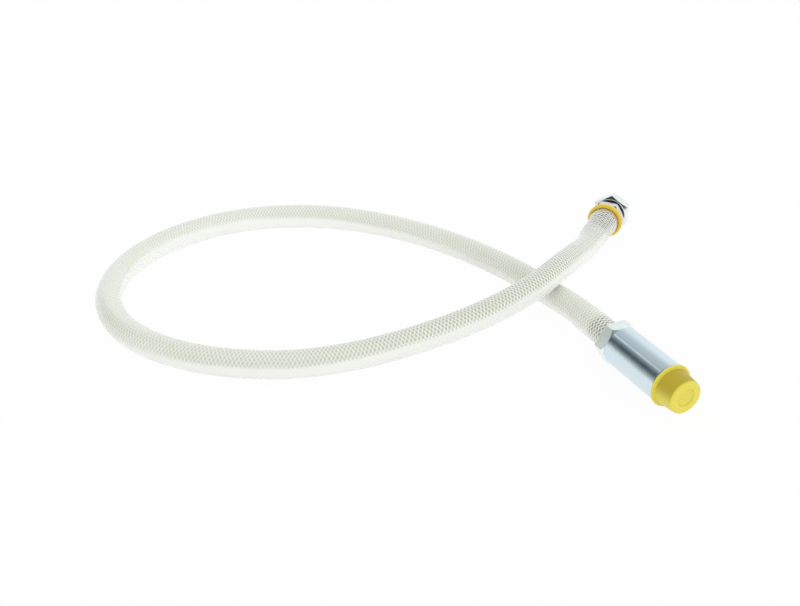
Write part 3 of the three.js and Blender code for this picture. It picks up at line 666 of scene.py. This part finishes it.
# Coupling: hexagon, barrel, and the threaded nose under the cap
coupling = hexagon(
    "coupling_hexagon", SPANNER_FLATS, HEX_BACK, HEX_FRONT, 0, (0, 50), (13.5, BARREL),
    [(SOCKET + 0.1, HEX_FRONT), (SOCKET + 0.1, HEX_BACK)],
    VALVE, zinc_plain, "hose_line", "zinc_steel",
)
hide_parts("coupling_body")
turned(
    "coupling_barrel",
    [
        (SOCKET, HEX_FRONT - 0.3),
        (BARREL - 0.4, HEX_FRONT - 0.3),
        (BARREL - 0.4, HEX_FRONT + 0.05),
        (BARREL, HEX_FRONT + 0.4),
        (BARREL, BARREL_FRONT - 0.6),
        (BARREL - 0.6, BARREL_FRONT),
        (NOSE, BARREL_FRONT),
        (NOSE, NOSE_FRONT - 0.7),
        (NOSE - 0.7, NOSE_FRONT),
        (NOSE_BORE, NOSE_FRONT),
        (NOSE_BORE, BARREL_FRONT),
        (BARREL_BORE, SEAT_BACK),
        (BARREL_BORE, SOCKET_FRONT),
        (SOCKET, SOCKET_FRONT),
    ],
    VALVE, zinc, "hose_line", "zinc_steel",
)
thread(
    "nose_thread", NOSE - 0.05, NOSE_CREST, BARREL_FRONT + 2, NOSE_FRONT - 0.4,
    VALVE, zinc, "hose_line", "zinc_steel",
)
ring = round_ring(
    "nose_seal", NOSE + 0.9, 1.6, BARREL_FRONT + 0.9, VALVE, rubber, "hose_line", "black_rubber"
)
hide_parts("nose_ring")

# Cap: a thick end with a round recess, a tapering side and a flange
cap = turned(
    "yellow_cap",
    [
        (0, CAP_INSIDE),
        (CAP_BOTTOM, CAP_INSIDE),
        (CAP_MOUTH, CAP_BACK),
        (CAP_FLANGE - 0.4, CAP_BACK),
        (CAP_FLANGE, CAP_BACK + 0.4),
        (CAP_FLANGE, CAP_BACK + 1.2),
        (CAP_FLANGE - 0.4, CAP_BACK + 1.6),
        (CAP_SIDE + 0.3, CAP_BACK + 1.7),
        (CAP_SIDE, CAP_BACK + 2.2),
        (CAP_SIDE - 1.4, CAP_FRONT - 0.7),
        (CAP_SIDE - 2.3, CAP_FRONT),
        (CAP_RECESS + 0.2, CAP_FRONT),
        (CAP_RECESS - 0.2, CAP_FRONT - 0.9),
        (0, CAP_FRONT - 0.9),
    ],
    VALVE, yellow, "cap", "yellow_plastic", size=0.5,
)
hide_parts("protective_cap")

# Poppet: stem, round head with its seal's groove, cone and the pin that the drain port pushes
poppet = turned(
    "brass_poppet",
    [
        (0, STEM_BACK),
        (STEM, STEM_BACK),
        (STEM, HEAD_BACK),
        (HEAD, HEAD_BACK),
        (HEAD, HEAD_BACK + 0.3),
        (HEAD - 1.7, HEAD_BACK + 0.3),
        (HEAD - 1.7, HEAD_BACK + 2.2),
        (HEAD - 0.3, HEAD_BACK + 2.2),
        (HEAD - 0.3, SEAT_BACK),
        (HEAD - 3.4, SEAT_BACK + 3.1),
        (PIN, SEAT_BACK + 3.1),
        (PIN, PIN_FRONT),
        (0, PIN_FRONT),
    ],
    VALVE, brass, "valve_poppet", "brass", cols=64,
)
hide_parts("poppet")

# The spring lies between the guide and the poppet's head; it shortens when the poppet is pushed in, and its
# closed turns stay as they are. Here only the points inside those turns, between which it would shorten, are
# found.
spring_start = SOCKET_FRONT + SPRING_WIRE / 2
spring_stop = HEAD_BACK - 0.3 - SPRING_WIRE / 2
spring = coil(
    "valve_coil", SPRING_MEAN, SPRING_WIRE, spring_start, spring_stop, SPRING_TURNS,
    VALVE, wire_steel, "spring_steel",
)
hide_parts("valve_spring")
spring_from, spring_to = (
    tuple(VALVE_END + VALVE[0][:, 2] * reach * MM)
    for reach in (spring_start + SPRING_HELD, spring_stop - SPRING_HELD)
)
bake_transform(spring)
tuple(spring_from)
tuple(spring_to)

# Swivel end: collar, neck with the wire's and the seal's grooves, hexagon, nut
collar = turned(
    "amber_collar_ring",
    [
        (COLLAR_LIP, 0.4),
        (COLLAR_LIP, COLLAR_BACK + 0.3),
        (COLLAR_LIP + 0.3, COLLAR_BACK),
        (COLLAR - 0.9, COLLAR_BACK),
        (COLLAR, COLLAR_BACK + 1),
        (COLLAR, COLLAR_FRONT - 1),
        (COLLAR - 1, COLLAR_FRONT),
        (COLLAR_HOLE, COLLAR_FRONT),
        (COLLAR_HOLE, 0.4),
    ],
    SWIVEL, amber, "hose_line", "amber_plastic", size=0.7,
)
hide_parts("hose_collar")
tail = turned(
    "swivel_neck",
    [
        (TAIL_BORE, 1.0),
        (TAIL_SHANK, 1.0),
        (TAIL_SHANK, TAIL_HEX_FRONT - 0.9),
        (NECK, TAIL_HEX_FRONT),
        (NECK, WIRE_GROOVE_BACK - 0.2),
        (WIRE_GROOVE, WIRE_GROOVE_BACK),
        (WIRE_GROOVE, WIRE_GROOVE_FRONT),
        (NECK, WIRE_GROOVE_FRONT + 0.2),
        (NECK, CONE_BACK),
        (CONE_TIP + 0.85, SEAL_GROOVE_BACK - 0.05),
        (SEAL_GROOVE, SEAL_GROOVE_BACK),
        (SEAL_GROOVE, SEAL_GROOVE_FRONT),
        (CONE_TIP + 0.45, SEAL_GROOVE_FRONT + 0.05),
        (CONE_TIP, CONE_FRONT),
        (TAIL_BORE, CONE_FRONT),
    ],
    SWIVEL, nickel_turned, "hose_line", "zinc_steel", size=0.12,
)
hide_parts("swivel_hose_tail")
hexagon(
    "swivel_hexagon", TAIL_FLATS, TAIL_HEX_BACK, TAIL_HEX_FRONT, 0, (35, 35), (11.6, 11.6),
    [(TAIL_SHANK - 0.1, TAIL_HEX_FRONT), (TAIL_SHANK - 0.1, TAIL_HEX_BACK)],
    SWIVEL, nickel_satin, "hose_line", "zinc_steel",
)
seal = round_ring("cone_seal", SEAL_GROOVE + 0.5, 1.3, 17.6, SWIVEL, rubber, "hose_line", "black_rubber")
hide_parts("cone_ring")
nut = hexagon(
    "nut_hexagon", SPANNER_FLATS, NUT_BACK, NUT_FRONT, 30, (30, 30), (NUT_RIM, NUT_RIM - 0.35),
    [
        (NUT_MOUTH, NUT_FRONT),
        (NUT_BORE, NUT_FRONT - 0.8),
        (NUT_BORE, NUT_SHOULDER + 1),
        (NUT_HOLE, NUT_SHOULDER),
        (NUT_HOLE, NUT_SHOULDER - 0.5),
    ],
    SWIVEL, nickel, "nut", "zinc_steel",
)
turned(
    "nut_rim",
    [
        (NUT_RIM - 0.55, NUT_RIM_BACK + 0.2),
        (NUT_RIM - 0.25, NUT_RIM_BACK),
        (NUT_RIM, NUT_RIM_BACK + 0.25),
        (NUT_RIM, NUT_BACK + 0.3),
        (NUT_RIM - 0.75, NUT_BACK + 0.3),
    ],
    SWIVEL, nickel, "nut", "zinc_steel", size=0.1,
)
# Painted shade: a thin dark shell laid just in front of the nut's cone darkens the hollow between the nut and
# the hexagon.
turned(
    "nut_recess_shade",
    [
        (NUT_HOLE, NUT_SHOULDER - 1),
        (NUT_RIM - 0.5, NUT_RIM_BACK + 0.25),
        (NUT_RIM - 0.5, NUT_BACK + 0.2),
        (NUT_HOLE, NUT_SHOULDER - 0.4),
    ],
    SWIVEL, shade_lining_steel, "nut", "zinc_steel", size=0.1,
)
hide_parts("swivel_nut")
thread(
    "nut_thread", NUT_BORE + 0.05, NUT_BORE - 0.7, NUT_SHOULDER + 1.3, NUT_FRONT - 0.7,
    SWIVEL, nickel_turned, "nut", "zinc_steel",
)

# CAD nodes that stay
for node, look in {
    "valve_hose_tail": zinc_plain,
    "tail_seal": rubber,
    "spring_guide": brass_plain,
    "poppet_ring": rubber,
    "retaining_wire": wire_steel,
}.items():
    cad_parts[node].data.materials.clear()
    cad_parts[node].data.materials.append(look)


# Stage

FLOOR_HALF = 6
FLOOR_DROP = 0.2 * MM
FLOOR_SHOWN = 0.95  # share of the ground's own white in what the camera and reflections see
FLOOR_LIT = 0.62  # share of it in the light that the ground sends out


def floor_material():
    """A white ground lit from below, as a light table is: it shows white, keeps a faint shadow, and sends
    some of its light up under the hose."""
    material, shader, add, _ = new_material("white_floor")
    fill(shader, {"Base Color": (0.9, 0.9, 0.9, 1), "Roughness": 0.8})
    most = 0.0
    for ray, share in (
        ("Is Camera Ray", FLOOR_SHOWN),
        ("Is Glossy Ray", FLOOR_SHOWN),
        ("Is Transmission Ray", FLOOR_SHOWN),
        ("Is Diffuse Ray", FLOOR_LIT),
    ):
        amount = add("Math", {0: add("LightPath", out=ray), 1: share}, operation="MULTIPLY")
        most = add("Math", {0: most, 1: amount}, operation="MAXIMUM")
    glow = add("Emission", {"Color": (1, 1, 1, 1), "Strength": 1.0})
    lit = add("MixShader", {0: most, 1: shader.outputs[0], 2: glow})
    fill(material.node_tree.nodes["Material Output"], {"Surface": lit})
    return material


corners = [(-FLOOR_HALF, -FLOOR_HALF, 0), (FLOOR_HALF, -FLOOR_HALF, 0)]
corners += [(FLOOR_HALF, FLOOR_HALF, 0), (-FLOOR_HALF, FLOOR_HALF, 0)]
floor_mesh = bpy.data.meshes.new("floor")
floor_mesh.from_pydata(corners, [], [(0, 1, 2, 3)])
floor = bpy.data.objects.new("floor", floor_mesh)
bpy.context.scene.collection.objects.link(floor)
floor.location.z = -FLOOR_DROP
floor_mesh.materials.append(floor_material())


def studio():
    """The room: white and bright behind the object, dimmer overhead, with a dark opening on the left, a
    small lamp above that and a dark side where the camera stands. It shows as plain white behind the
    object, and its light is weaker from the left."""
    world = bpy.data.worlds.new("studio")
    bpy.context.scene.world = world
    world.use_nodes = True
    world.node_tree.nodes.clear()
    add = adder(world.node_tree)
    way = add("TexCoord", out="Generated")

    def near(azimuth, height, outer, inner):
        """From 0 at the outer angle from a direction to 1 at the inner one, in degrees. The azimuth is
        taken from +Y towards +X."""
        a, e = math.radians(azimuth), math.radians(height)
        aim = (math.sin(a) * math.cos(e), math.cos(a) * math.cos(e), math.sin(e))
        dot = add("VectorMath", {0: way, 1: aim}, out="Value", operation="DOT_PRODUCT")
        angle = add("Math", {0: add("Math", {0: dot}, operation="ARCCOSINE")}, operation="DEGREES")
        return add("MapRange", {0: angle, 1: outer, 2: inner}, **SMOOTH)

    opening = (-95, 27)
    room = (0.97, 1.0, 1.0, 1)
    for amount, tone in (
        (near(0, 90, 65, 30), (0.5, 0.53, 0.54, 1)),  # overhead
        (near(*opening, 42, 0), (0.06, 0.09, 0.09, 1)),
        (near(-75, 45, 5, 2), (0.9, 0.93, 0.93, 1)),  # the lamp
        (near(176, 25, 52, 32), (0.05, 0.06, 0.06, 1)),  # the camera's side
    ):
        room = add("Mix", {0: amount, 6: room, 7: tone}, **COLOUR)
    dimmed = add("Math", {0: near(*opening, 80, 10), 1: 0.25}, operation="MULTIPLY")
    soft = add("Mix", {0: dimmed, 6: (0.98, 0.99, 1.0, 1), 7: (0.0, 0.0, 0.0, 1)}, **COLOUR)
    lit, mirrored, white = (
        add("Background", {"Color": tone, "Strength": 1.0}) for tone in (soft, room, (1, 1, 1, 1))
    )
    gloss = add("MixShader", {0: add("LightPath", out="Is Glossy Ray"), 1: lit, 2: mirrored})
    seen = add("MixShader", {0: add("LightPath", out="Is Camera Ray"), 1: gloss, 2: white})
    fill(world.node_tree.nodes.new("ShaderNodeOutputWorld"), {"Surface": seen})


studio()


def lamp(name, place, aim, size, power):
    """A soft square light at a place, turned towards a point, that no reflection shows."""
    data = bpy.data.lights.new(name, "AREA")
    data.shape, data.size, data.energy = "SQUARE", size, power
    light = bpy.data.objects.new(name, data)
    bpy.context.scene.collection.objects.link(light)
    light.visible_glossy = False
    light.location = place
    way = np.array(aim, float) - np.array(place, float)
    flat = math.hypot(way[0], way[1])
    light.rotation_euler = (math.atan2(flat, -way[2]), 0, math.atan2(-way[0], way[1]))


lamp("softbox_right", (1.1, -0.8, 0.8), (0, 0, 0), 0.9, 2.0)

bpy.context.scene.view_settings.view_transform = "Standard"
